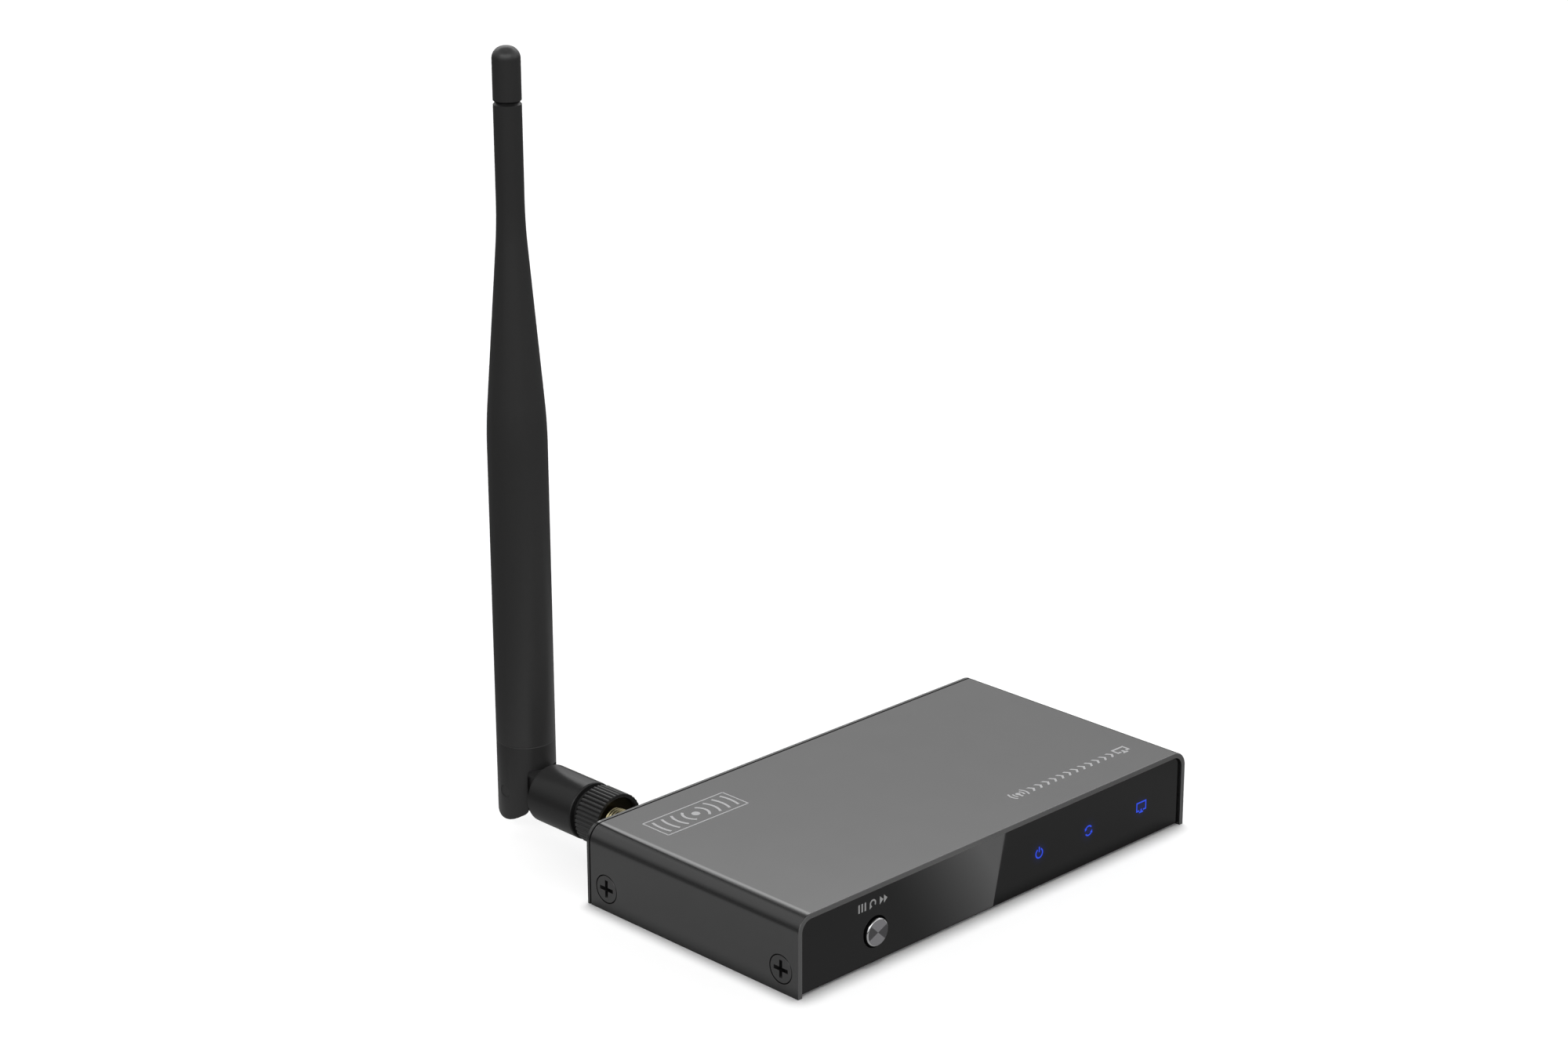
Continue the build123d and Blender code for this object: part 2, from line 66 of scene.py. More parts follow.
# node trees are written as plain expressions: + - * / on a Wire add Math nodes to its tree
class Wire:
    # one output socket
    def __init__(self, graph, socket):
        self.graph, self.socket = graph, socket

    def __add__(self, other):
        return self.graph.calc("ADD", self, other)

    def __radd__(self, other):
        return self.graph.calc("ADD", other, self)

    def __sub__(self, other):
        return self.graph.calc("SUBTRACT", self, other)

    def __rsub__(self, other):
        return self.graph.calc("SUBTRACT", other, self)

    def __mul__(self, other):
        return self.graph.calc("MULTIPLY", self, other)

    def __rmul__(self, other):
        return self.graph.calc("MULTIPLY", other, self)

    def __truediv__(self, other):
        return self.graph.calc("DIVIDE", self, other)

    def __pow__(self, other):
        return self.graph.calc("POWER", self, other)

    def __rpow__(self, other):
        return self.graph.calc("POWER", other, self)

    def __neg__(self):
        return self.graph.calc("MULTIPLY", self, -1.0)


def findSocket(sockets, key):
    if isinstance(key, int):
        return sockets[key]
    return next((s for s in sockets if s.identifier == key), None) or sockets[key]


class Graph:
    # a node tree, shader or geometry, that starts empty
    def __init__(self, tree):
        self.tree = tree
        tree.nodes.clear()

    def add(self, kind, settings=None, inputs=None, out=0):
        node = self.tree.nodes.new(kind)
        for name, value in (settings or {}).items():
            setattr(node, name, value)
        for key, value in (inputs or {}).items():
            socket = findSocket(node.inputs, key)
            if isinstance(value, Wire):
                self.tree.links.new(value.socket, socket)
            else:
                socket.default_value = value
        return Wire(self, findSocket(node.outputs, out)) if len(node.outputs) else None

    def calc(self, operation, *values):
        return self.add("ShaderNodeMath", {"operation": operation}, dict(enumerate(values)))

    def split(self, vector):
        node = self.tree.nodes.new("ShaderNodeSeparateXYZ")
        self.tree.links.new(vector.socket, node.inputs[0])
        return [Wire(self, output) for output in node.outputs]

    def mix(self, factor, first, second):
        inputs = {"Factor_Float": factor, "A_Color": first, "B_Color": second}
        return self.add("ShaderNodeMix", {"data_type": "RGBA"}, inputs, "Result_Color")

    def rise(self, value, low, high):
        # 0 below low, 1 above high, eased between
        inputs = {"Value": value, "From Min": low, "From Max": high}
        return self.add("ShaderNodeMapRange", {"interpolation_type": "SMOOTHSTEP"}, inputs)

    def band(self, value, low, high, soft):
        up = self.rise(value, low - soft, low + soft)
        return up * (1 - self.rise(value, high - soft, high + soft))


def grey(level, tint=(1.0, 1.0, 1.0)):
    return (level * tint[0], level * tint[1], level * tint[2], 1.0)


def rounded(corners, radii, steps=8, guard=0.05 * mm, closed=False):
    # an outline with rounded corners; a guard point each side keeps the straight runs straight
    outline = []
    for index, (x, y) in enumerate(corners):
        radius = radii.get(index, 0)
        inside = closed or 0 < index < len(corners) - 1
        if not radius or not inside:
            outline.append((x, y))
            continue
        here = Vector((x, y))
        back = (Vector(corners[index - 1]) - here).normalized()
        ahead = (Vector(corners[(index + 1) % len(corners)]) - here).normalized()
        half = back.angle(ahead) / 2
        reach = radius / tan(half)
        centre = here + (back + ahead).normalized() * (radius / sin(half))
        start = here + back * reach - centre
        turn = (here + ahead * reach - centre).angle_signed(start)
        outline.append(tuple(here + back * (reach + guard)))
        for step in range(steps + 1):
            spun = Matrix.Rotation(turn * step / steps, 2) @ start
            outline.append(tuple(centre + spun))
        outline.append(tuple(here + ahead * (reach + guard)))
    return outline


def newPiece(name, vertices, faces, sharpAngle=35):
    mesh = bpy.data.meshes.new(name)
    mesh.from_pydata(vertices, [], faces)
    piece = bpy.data.objects.new(name, mesh)
    bpy.context.scene.collection.objects.link(piece)
    tidyMesh(piece, sharpAngle)
    return piece


def tidyMesh(piece, sharpAngle=35):
    work = bmesh.new()
    work.from_mesh(piece.data)
    bmesh.ops.remove_doubles(work, verts=work.verts, dist=1e-7)
    bmesh.ops.recalc_face_normals(work, faces=work.faces)
    work.to_mesh(piece.data)
    work.free()
    piece.data.shade_smooth()
    piece.data.set_sharp_from_angle(angle=radians(sharpAngle))


drawnInYZ = Matrix(((0, 0, 1, 0), (1, 0, 0, 0), (0, 1, 0, 0), (0, 0, 0, 1)))  # pushed along X
drawnInXZ = Matrix(((1, 0, 0, 0), (0, 0, -1, 0), (0, 1, 0, 0), (0, 0, 0, 1)))  # pushed along -Y


def alongY(x, z):
    return Matrix.Translation((x, 0, z)) @ Matrix.Rotation(-pi / 2, 4, "X")


def lathe(name, outline, place, segments=128, closed=False, sharpAngle=35):
    # outline is (radius, along the axis); a ring of radius 0 becomes a pole
    vertices, rings = [], []
    for radius, along in outline:
        count = segments if radius > 1e-9 else 1
        rings.append((len(vertices), count))
        for index in range(count):
            turn = 2 * pi * index / segments
            vertices.append(place @ Vector((radius * cos(turn), radius * sin(turn), along)))
    pairs = list(zip(rings, rings[1:]))
    if closed:
        pairs.append((rings[-1], rings[0]))
    faces = []
    for (low, lowCount), (high, highCount) in pairs:
        for index in range(segments if max(lowCount, highCount) > 1 else 0):
            after = (index + 1) % segments
            face = [low + index % lowCount, low + after % lowCount,
                    high + after % highCount, high + index % highCount]
            faces.append(tuple(dict.fromkeys(face)))
    return newPiece(name, vertices, faces, sharpAngle)


def slabOf(name, outline, place, depth):
    # a flat outline in the place's XY plane, pushed along its Z
    count = len(outline)
    vertices = [place @ Vector((x, y, 0)) for x, y in outline]
    vertices += [place @ Vector((x, y, depth)) for x, y in outline]
    faces = [tuple(range(count)), tuple(range(2 * count - 1, count - 1, -1))]
    for index in range(count):
        after = (index + 1) % count
        faces.append((index, after, count + after, count + index))
    return newPiece(name, vertices, faces)


def settle(piece, sharpAngle=35):
    # the modifiers' result becomes the piece's own plain mesh
    bpy.context.view_layer.update()
    seen = piece.evaluated_get(bpy.context.evaluated_depsgraph_get())
    mesh = bpy.data.meshes.new_from_object(seen)
    old = piece.data
    piece.modifiers.clear()
    piece.data = mesh
    mesh.name = piece.name
    bpy.data.meshes.remove(old)
    piece.data.shade_smooth()
    piece.data.set_sharp_from_angle(angle=radians(sharpAngle))
    return piece


def join(operation, piece, *others, sharpAngle=35):
    for other in others:
        modifier = piece.modifiers.new("join", "BOOLEAN")
        modifier.operation = operation
        modifier.solver = "EXACT"
        modifier.object = other
    settle(piece, sharpAngle)
    for other in others:
        bpy.data.objects.remove(other)
    return piece


def softenEdges(piece, width, steps=3, sharpAngle=35):
    modifier = piece.modifiers.new("soften", "BEVEL")
    modifier.width = width
    modifier.segments = steps
    modifier.limit_method = "ANGLE"
    modifier.angle_limit = radians(sharpAngle)
    return settle(piece, sharpAngle)


def place(piece, material, slot, body, *nodes):
    if material:
        piece.data.materials.clear()
        piece.data.materials.append(material)
    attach(piece, body)
    if nodes:
        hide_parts(*nodes)
    return piece


# tone, tint, metallic, roughness, grain size and depth in mm, tone spread, specular level,
# and the height of a groove that gets a band of painted shade
finishLooks = {
    "screw_coat": dict(tone=0.155, metallic=0.88, rough=0.22, grain=0.20, depth=0.0009),
    "inner_black": dict(tone=0.022, rough=0.45, grain=0.30, depth=0.004),
    "sheet_clear": dict(tone=0.62, tint=(1.0, 0.98, 0.88), rough=0.35, grain=0.6, depth=0.004),
    "chip_black": dict(tone=0.020, rough=0.55, grain=0.08, depth=0.003, spread=0.3),
    "pad_grey": dict(tone=0.38, tint=(0.97, 1.0, 1.05), rough=0.8, grain=0.25, depth=0.01),
    "heatsink_metal": dict(tone=0.62, metallic=1.0, rough=0.38, grain=0.2, depth=0.002),
    "plated_steel": dict(tone=0.52, metallic=1.0, rough=0.26, grain=0.5, depth=0.002),
    "gold_brass": dict(tone=0.46, tint=(1.0, 0.88, 0.52), metallic=1.0, rough=0.28,
                       grain=0.4, depth=0.001, spread=0.12),
    # aged_brass: darkened brass whose very low tone also holds painted shade of the nut's recess
    "aged_brass": dict(tone=0.055, tint=(1.0, 0.88, 0.55), metallic=1.0, rough=0.34,
                       grain=0.3, depth=0.002, spread=0.2),
    "lead_jacket": dict(tone=0.035, rough=0.5, grain=0.15, depth=0.004),
    "white_insulator": dict(tone=0.75, tint=(1.0, 0.99, 0.96), rough=0.5, grain=0.3, depth=0.003),
    "nut_black": dict(tone=0.030, rough=0.30, grain=0.12, depth=0.0015, level=0.7),
    "elbow_black": dict(tone=0.022, rough=0.31, grain=0.12, depth=0.0012, level=0.5),
    "knuckle_black": dict(tone=0.036, rough=0.36, grain=0.10, depth=0.0012, level=0.65),
    "whip_black": dict(tone=0.050, rough=0.34, grain=0.10, depth=0.0016, level=0.7, groove=162.2 * mm),
    "mark_print": dict(tone=0.40, tint=(1.0, 1.0, 1.02), rough=0.45, grain=0.05, depth=0.001),
}


def newMaterial(name):
    material = bpy.data.materials.new(name)
    material.use_nodes = True
    return material, Graph(material.node_tree)


def showSurface(graph, shader):
    graph.add("ShaderNodeOutputMaterial", None, {"Surface": shader})


def objectSpot(graph):
    return graph.add("ShaderNodeTexCoord", out="Object")


def noise(graph, spot, size, detail=3.0):
    inputs = {"Vector": spot, "Scale": 1 / size, "Detail": detail, "Roughness": 0.55}
    return graph.add("ShaderNodeTexNoise", None, inputs, "Fac")


def bump(graph, height, depth, strength=1.0):
    inputs = {"Height": height, "Distance": depth, "Strength": strength}
    return graph.add("ShaderNodeBump", None, inputs)


def grainFinish(name, tone, tint=(1, 1, 1), metallic=0.0, rough=0.4, grain=0.2, depth=0.002,
                spread=0.1, level=0.5, groove=None):
    # a coated, moulded or metal surface: fine grain over slow cloudy changes
    material, graph = newMaterial(name)
    spot = objectSpot(graph)
    fine = noise(graph, spot, grain * mm)
    cloudy = noise(graph, spot, 60 * grain * mm, 4.0)
    shift = (fine - 0.5) * spread + (cloudy - 0.5) * spread
    low, high = grey(tone * (1 - spread), tint), grey(tone * (1 + spread), tint)
    paint = graph.mix(shift * 2 + 0.5, low, high)
    # painted shade: the colour turns dark in a band around the groove's height
    if groove:
        away = graph.calc("ABSOLUTE", graph.split(spot)[2] - groove)
        paint = graph.mix(graph.rise(away, 0.40 * mm, 0.46 * mm), grey(tone * 0.12), paint)
    shader = graph.add("ShaderNodeBsdfPrincipled", None, {
        "Base Color": paint,
        "Metallic": metallic,
        "Roughness": rough + (fine - 0.5) * 0.08 + (cloudy - 0.5) * 0.05,
        "Specular IOR Level": level,
        "Normal": bump(graph, fine, depth * mm),
    })
    showSurface(graph, shader)
    return material


coatLook = {"tone": 0.165, "metallic": 0.88, "rough": 0.17, "spread": 0.08, "edgeTone": 0.16,
            "edgeRough": 0.5}


def enclosureCoat(look):
    # satin metallic coat; the cut front edge of the sheet is flat grey
    material, graph = newMaterial("enclosureCoat")
    spot = objectSpot(graph)
    y = graph.split(spot)[1]
    fine = noise(graph, spot, 0.16 * mm)
    cloudy = noise(graph, spot, 10 * mm, 4.0)
    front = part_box("top_cover")[0].y
    edge = 1 - graph.rise(y, front + 0.03 * mm, front + 0.08 * mm)
    low, high = look["tone"] * (1 - look["spread"]), look["tone"] * (1 + look["spread"])
    coat = graph.mix((fine + cloudy) * 0.5, grey(low), grey(high))
    shader = graph.add("ShaderNodeBsdfPrincipled", None, {
        "Base Color": graph.mix(edge, coat, grey(look["edgeTone"])),
        "Metallic": (1 - edge) * look["metallic"],
        "Roughness": look["rough"] + (fine - 0.5) * 0.06 + edge * (look["edgeRough"] - look["rough"]),
        "Normal": bump(graph, fine, 0.0007 * mm),
    })
    showSurface(graph, shader)
    return material


panelLook = {"tone": 0.004, "rough": 0.045, "glowTone": (0.03, 0.07, 1.0), "glowSize": 1.5,
             "glowLight": 0.05, "lights": (12.47, 28.44, 46.02), "lightHeight": 8.2}


def frontBlack(look):
    # smoked gloss panel with the lamps' faint halo showing through it
    material, graph = newMaterial("frontBlack")
    spot = objectSpot(graph)
    x, y, z = graph.split(spot)
    fine = noise(graph, spot, 0.4 * mm)
    wave = noise(graph, spot, 18 * mm, 2.0)
    glow = 0.0
    for centre in look["lights"]:
        across, up = x / mm - centre, z / mm - look["lightHeight"]
        glow = glow + e ** (-(across * across + up * up) / look["glowSize"] ** 2)
    halo = graph.mix(glow, grey(0.0), (*look["glowTone"], 1.0))
    shader = graph.add("ShaderNodeBsdfPrincipled", None, {
        "Base Color": graph.mix(fine, grey(look["tone"] * 0.8), grey(look["tone"] * 1.2)),
        "Roughness": look["rough"] + (fine - 0.5) * 0.02,
        "Emission Color": halo,
        "Emission Strength": look["glowLight"],
        "Normal": bump(graph, wave, 0.002 * mm),
    })
    showSurface(graph, shader)
    return material


# the painted highlight sectors' angles are in degrees; bright and dark are the colours of the lighter and
# darker sectors
spunLook = {"bright": 0.50, "dark": 0.17, "turned": 10.0, "half": 34.0, "tint": (1.0, 0.985, 1.03),
            "rim": 2.79 * mm, "rimTone": 0.9, "rough": 0.20, "rimRough": 0.10,
            "side": 0.30 * mm, "sideTone": 0.004}


def buttonMetal(look):
    # a spun face whose colour carries a painted highlight, lighter in two opposite sectors and darker in
    # the other two, inside a polished rim, on a black body
    material, graph = newMaterial("buttonMetal")
    spot = objectSpot(graph)
    x, y, z = graph.split(spot)
    low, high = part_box("reset_button_cap")
    across, up = x - (low.x + high.x) / 2, z - (low.z + high.z) / 2
    outward = (across * across + up * up) ** 0.5
    rim = graph.rise(outward, look["rim"], look["rim"] + 0.02 * mm)
    # painted highlight: the colour is lighter in the sectors above and below the middle, darker in those to
    # the sides
    turned, half = radians(look["turned"]), radians(look["half"])
    aside = graph.calc("ABSOLUTE", across * cos(turned) - up * sin(turned))
    above = graph.calc("ABSOLUTE", across * sin(turned) + up * cos(turned))
    paintedHighlightSector = graph.rise((above * cos(half) - aside * sin(half)) / outward, -0.07, 0.07)
    side = graph.rise(y, low.y + look["side"], low.y + look["side"] + 0.03 * mm)
    fine = noise(graph, spot, 0.06 * mm, 2.0)
    level = (look["dark"] + paintedHighlightSector * (look["bright"] - look["dark"])) * (0.92 + fine * 0.16)
    face = graph.mix(level, grey(0.0), grey(1.0, look["tint"]))
    metal = graph.mix(rim, face, grey(look["rimTone"]))
    shader = graph.add("ShaderNodeBsdfPrincipled", None, {
        "Base Color": graph.mix(side, metal, grey(look["sideTone"])),
        "Metallic": 1 - side,
        "Roughness": look["rough"] + rim * (look["rimRough"] - look["rough"]) + side * 0.3,
        "Normal": bump(graph, fine, 0.0004 * mm),
    })
    showSurface(graph, shader)
    return material


lampLook = {"tone": (0.012, 0.065, 0.82), "light": 1.0}


def statusLight(look):
    material, graph = newMaterial("statusLight")
    cloudy = noise(graph, objectSpot(graph), 0.8 * mm, 1.0)
    dim = tuple(0.85 * part for part in look["tone"])
    shader = graph.add("ShaderNodeBsdfPrincipled", None, {
        "Base Color": grey(0.02),
        "Roughness": 0.2,
        "Emission Color": graph.mix(cloudy, (*dim, 1.0), (*look["tone"], 1.0)),
        "Emission Strength": look["light"],
    })
    showSurface(graph, shader)
    return material


def clearGuide():
    material, graph = newMaterial("clearGuide")
    streak = noise(graph, objectSpot(graph), 1.5 * mm)
    shader = graph.add("ShaderNodeBsdfPrincipled", None, {
        "Base Color": graph.mix(streak, grey(0.88), grey(0.96, (0.97, 1.0, 1.0))),
        "Roughness": 0.05 + streak * 0.06,
        "Transmission Weight": 0.9,
        "IOR": 1.49,
    })
    showSurface(graph, shader)
    return material


def boardGreen():
    # solder mask over copper: tracks show as slightly raised, lighter lines, with plated holes
    material, graph = newMaterial("boardGreen")
    spot = objectSpot(graph)
    fine = noise(graph, spot, 0.25 * mm)
    wander = noise(graph, spot, 6 * mm, 1.0)
    x, y = graph.split(spot)[:2]
    lines = (x + y * 0.4 + wander * 0.004) * (2 * pi / (1.3 * mm))
    tracks = graph.rise(graph.calc("SINE", lines), 0.2, 0.5)
    cells = graph.add("ShaderNodeTexVoronoi", None, {"Vector": spot, "Scale": 260.0}, "Distance")
    holes = 1 - graph.rise(cells, 0.10, 0.16)
    mask = graph.mix(tracks, (0.004, 0.045, 0.018, 1), (0.012, 0.10, 0.042, 1))
    shader = graph.add("ShaderNodeBsdfPrincipled", None, {
        "Base Color": graph.mix(holes, mask, (0.55, 0.42, 0.2, 1)),
        "Metallic": holes,
        "Roughness": 0.22 + fine * 0.15,
        "Normal": bump(graph, tracks, 0.03 * mm, 0.6),
    })
    showSurface(graph, shader)
    return material


finishes = {slot: grainFinish(slot, **look) for slot, look in finishLooks.items()}
finishes["panelPrint"] = grainFinish("panelPrint", tone=0.62, rough=0.45, grain=0.05, depth=0.001)
finishes["enclosure_coat"] = enclosureCoat(coatLook)
finishes["front_black"] = frontBlack(panelLook)
finishes["button_metal"] = buttonMetal(spunLook)
finishes["status_light"] = statusLight(lampLook)
finishes["clear_guide"] = clearGuide()
finishes["board_green"] = boardGreen()

for part in frame["record"]["subparts"]:
    meshMaterials = frame["nodes"][part["node"]].data.materials
    meshMaterials.clear()
    meshMaterials.append(finishes[part["material_slot"]])
print("finishes made:", len(finishes))


def geometryGraph(name, sockets):
    # returns the graph, its named inputs as wires, and each input's identifier
    tree = bpy.data.node_groups.new(name, "GeometryNodeTree")
    graph = Graph(tree)
    identifiers = {}
    for label, kind in (("Geometry", "NodeSocketGeometry"), *sockets):
        socket = tree.interface.new_socket(label, in_out="INPUT", socket_type=kind)
        identifiers[label] = socket.identifier
    tree.interface.new_socket("Geometry", in_out="OUTPUT", socket_type="NodeSocketGeometry")
    entry = tree.nodes.new("NodeGroupInput")
    wires = {output.name: Wire(graph, output) for output in entry.outputs if output.name}
    return graph, wires, identifiers


def closeGraph(graph, geometry, material):
    real = graph.add("GeometryNodeRealizeInstances", None, {"Geometry": geometry})
    coated = graph.add("GeometryNodeSetMaterial", None, {"Geometry": real, "Material": material})
    graph.add("NodeGroupOutput", None, {"Geometry": coated})


def runTree(piece, tree, identifiers, values, sharpAngle=35):
    modifier = piece.modifiers.new("nodes", "NODES")
    modifier.node_group = tree
    for label, value in values.items():
        modifier[identifiers[label]] = value
    return settle(piece, sharpAngle)


def waveTree():
    # grooves cut round, along or outward from an axis parallel to Y: knurls, threads, turned rings
    floats = ("Centre X", "Centre Z", "Turns", "Per Metre Along", "Per Metre Outward", "Phase",
              "Depth", "Narrowness", "Inner Radius", "Outer Radius", "Front", "Rear", "Fade", "Axial")
    sockets = [(label, "NodeSocketFloat") for label in floats]
    graph, given, identifiers = geometryGraph("grooveWave", [*sockets, ("Material", "NodeSocketMaterial")])
    spot = graph.add("GeometryNodeInputPosition")
    x, y, z = graph.split(spot)
    across, up = x - given["Centre X"], z - given["Centre Z"]
    outward = (across * across + up * up) ** 0.5
    angle = graph.calc("ARCTAN2", up, across)
    cycles = (angle * given["Turns"] / (2 * pi) + y * given["Per Metre Along"]
              + outward * given["Per Metre Outward"] + given["Phase"])
    wave = graph.calc("COSINE", cycles * (2 * pi))
    groove = (0.5 - 0.5 * wave) ** given["Narrowness"]
    ends = graph.calc("MINIMUM", y - given["Front"], given["Rear"] - y) / given["Fade"]
    fade = graph.add("ShaderNodeClamp", None, {"Value": ends})
    near = graph.calc("GREATER_THAN", outward, given["Inner Radius"])
    near = near * graph.calc("LESS_THAN", outward, given["Outer Radius"])
    push = groove * fade * near * given["Depth"]
    radial = 1 - given["Axial"]
    size = graph.calc("MAXIMUM", outward, 1e-6)
    offset = graph.add("ShaderNodeCombineXYZ", None, {
        "X": -(across / size * push * radial),
        "Y": push * given["Axial"],
        "Z": -(up / size * push * radial),
    })
    moved = graph.add("GeometryNodeSetPosition", None, {"Geometry": given["Geometry"], "Offset": offset})
    closeGraph(graph, moved, given["Material"])
    return graph.tree, identifiers


def screwTree():
    # the same screw in each corner of a rectangle, heads facing outward left and right
    sockets = [(label, "NodeSocketFloat") for label in ("Width", "Length", "Middle", "Height")]
    graph, given, identifiers = geometryGraph("sideScrews", [*sockets, ("Material", "NodeSocketMaterial")])
    corners = graph.add("GeometryNodeMeshGrid", None, {
        "Size X": given["Width"], "Size Y": given["Length"], "Vertices X": 2, "Vertices Y": 2})
    lift = graph.add("ShaderNodeCombineXYZ", None, {"Y": given["Middle"], "Z": given["Height"]})
    corners = graph.add("GeometryNodeTransform", None, {"Geometry": corners, "Translation": lift})
    x, y, z = graph.split(graph.add("GeometryNodeInputPosition"))
    turn = graph.add("ShaderNodeCombineXYZ", None, {"Z": graph.calc("GREATER_THAN", x, 0.0) * pi})
    screws = graph.add("GeometryNodeInstanceOnPoints", None, {
        "Points": corners, "Instance": given["Geometry"], "Rotation": turn})
    closeGraph(graph, screws, given["Material"])
    return graph.tree, identifiers


grooveWave, grooveInputs = waveTree()
sideScrews, screwInputs = screwTree()


# enclosure
coverLook = {"sheet": 1.15 * mm, "corner": 3.75 * mm, "cornerSteps": 28, "rim": 0.14 * mm,
             "innerRim": 0.08 * mm, "sinkRadius": 3.22 * mm, "sinkStep": 0.35 * mm,
             "sinkOut": 0.3 * mm}
screwLook = {"radius": 3.0 * mm, "shank": 1.4 * mm, "length": 5.0 * mm, "fromEnd": 4.95 * mm,
             "height": 5.13 * mm, "crossLength": 4.0 * mm, "crossWidth": 0.85 * mm, "crossDepth": 1.7 * mm}


def topCover(look):
    low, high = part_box("top_cover")
    right, top = high.x, high.z
    sheet, corner = look["sheet"], look["corner"]
    path = rounded([(-right, 0), (-right, top), (right, top), (right, 0)],
                   {1: corner, 2: corner}, look["cornerSteps"])
    section = rounded([(0, low.y), (0, high.y), (sheet, high.y), (sheet, low.y)],
                      {0: look["rim"], 1: look["rim"], 2: look["innerRim"], 3: look["innerRim"]},
                      5, closed=True)
    heart = (right - corner, top - corner)
    vertices, faces = [], []
    for x, z in path:
        reachX, reachZ = max(abs(x) - heart[0], 0), max(z - heart[1], 0)
        size = hypot(reachX, reachZ)
        outX, outZ = (reachX / size * (1 if x > 0 else -1), reachZ / size) if size else (x / abs(x), 0)
        for inward, y in section:
            vertices.append((x - outX * inward, y, z - outZ * inward))
    count = len(section)
    for ring in range(len(path) - 1):
        for index in range(count):
            after = (index + 1) % count
            start, end = ring * count, (ring + 1) * count
            faces.append((start + index, start + after, end + after, end + index))
    last = (len(path) - 1) * count
    faces += [tuple(range(count)), tuple(range(last + count - 1, last - 1, -1))]
    cover = newPiece("topCover", vertices, faces)
    sinks = []
    for side in (-1, 1):
        for y in (low.y + screwLook["fromEnd"], high.y - screwLook["fromEnd"]):
            wide, step = look["sinkRadius"], look["sinkOut"] + look["sinkStep"]
            outline = [(0, 0), (wide, 0), (wide, step), (wide - sheet, step + sheet), (0, step + sheet)]
            turn = Matrix.Rotation(-side * pi / 2, 4, "Y")
            spot = Matrix.Translation((side * (right + look["sinkOut"]), y, screwLook["height"]))
            sinks.append(lathe("sink", outline, spot @ turn, 96))
    join("DIFFERENCE", cover, *sinks, sharpAngle=28)
    return place(cover, finishes["enclosure_coat"], "enclosure_coat", "receiver", "top_cover")


def screwHead(look):
    # a countersunk cross-head screw at the origin, its head facing -X
    radius, depth = look["radius"], coverLook["sheet"]
    step = coverLook["sinkStep"]
    outline = rounded([(0, 0), (radius, 0), (radius, step), (radius - depth, step + depth),
                       (look["shank"], step + depth), (look["shank"], look["length"]), (0, look["length"])],
                      {1: 0.10 * mm}, 4)
    turn = Matrix.Rotation(pi / 2, 4, "Y")
    head = lathe("screwHead", outline, turn, 96)
    arms = []
    half, wide, deep = look["crossLength"] / 2, look["crossWidth"] / 2, look["crossDepth"]
    for spin in (0, pi / 2):
        arm = [(-half, -mm), (half, -mm), (half, 0), (half * 0.45, deep), (-half * 0.45, deep), (-half, 0)]
        spot = Matrix.Rotation(spin, 4, "X") @ Matrix.Rotation(pi / 2, 4, "Y") @ \
            Matrix.Translation((0, -wide, 0)) @ Matrix.Rotation(-pi / 2, 4, "X")
        arms.append(slabOf("arm", [(a, -b) for a, b in arm], spot, 2 * wide))
    join("DIFFERENCE", head, *arms)
    return head


def coverScrews(look):
    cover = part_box("top_cover")
    screws = screwHead(look)
    screws.name = "coverScrews"
    runTree(screws, sideScrews, screwInputs, {
        "Width": cover[1].x - cover[0].x,
        "Length": cover[1].y - cover[0].y - 2 * look["fromEnd"],
        "Middle": (cover[1].y + cover[0].y) / 2,
        "Height": look["height"],
        "Material": finishes["screw_coat"],
    })
    return place(screws, None, "screw_coat", "receiver", "cover_screws")


topCover(coverLook)
coverScrews(screwLook)
print("enclosure done")


# reset button
buttonLook = {"radius": 3.05 * mm, "bevel": 0.24 * mm, "ringPitch": 0.11 * mm, "ringDepth": 0.006 * mm,
              "stepsPerRing": 6, "flangeThick": 0.5 * mm}


def resetButton(look):
    low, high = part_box("reset_button_cap")
    x, z = (low.x + high.x) / 2, (low.z + high.z) / 2
    radius, flange, front, back = look["radius"], (high.x - low.x) / 2, low.y, high.y
    face = radius - look["bevel"]
    count = ceil(face / look["ringPitch"] * look["stepsPerRing"])
    outline = [(face * index / count, front) for index in range(count + 1)]
    shoulder, ledge = front + look["bevel"], back - look["flangeThick"]
    outline += [(radius - 0.03 * mm, shoulder - 0.03 * mm), (radius, shoulder + 0.05 * mm),
                (radius, shoulder + 0.1 * mm), (radius, ledge), (flange, ledge), (flange, back), (0, back)]
    cap = lathe("resetButtonCap", outline, alongY(x, z), 128, sharpAngle=60)
    runTree(cap, grooveWave, grooveInputs, {
        "Centre X": x, "Centre Z": z, "Turns": 0.0, "Per Metre Along": 0.0,
        "Per Metre Outward": 1 / look["ringPitch"], "Phase": 0.0, "Depth": look["ringDepth"],
        "Narrowness": 1.0, "Inner Radius": 0.08 * mm, "Outer Radius": face - 0.05 * mm,
        "Front": front - mm, "Rear": front + 0.05 * mm, "Fade": 0.01 * mm, "Axial": 1.0,
        "Material": finishes["button_metal"],
    }, 60)
    return place(cap, None, "button_metal", "reset_button", "reset_button_cap")


resetButton(buttonLook)
print("reset button done")


# antenna jack and coupling nut
jackLook = {"radius": 3.175 * mm, "pitch": 0.7056 * mm, "depth": 0.30 * mm, "stepsPerTurn": 10,
            "bore": 2.05 * mm, "hexAcross": 8.0 * mm, "hexFrom": 1.7 * mm}
nutLook = {"ridges": 40, "crestAt": 6.0, "depth": 0.46 * mm, "sharpness": 2.2, "endRound": 0.14 * mm,
           "rimWidth": 0.85 * mm, "bore": 4.6 * mm}


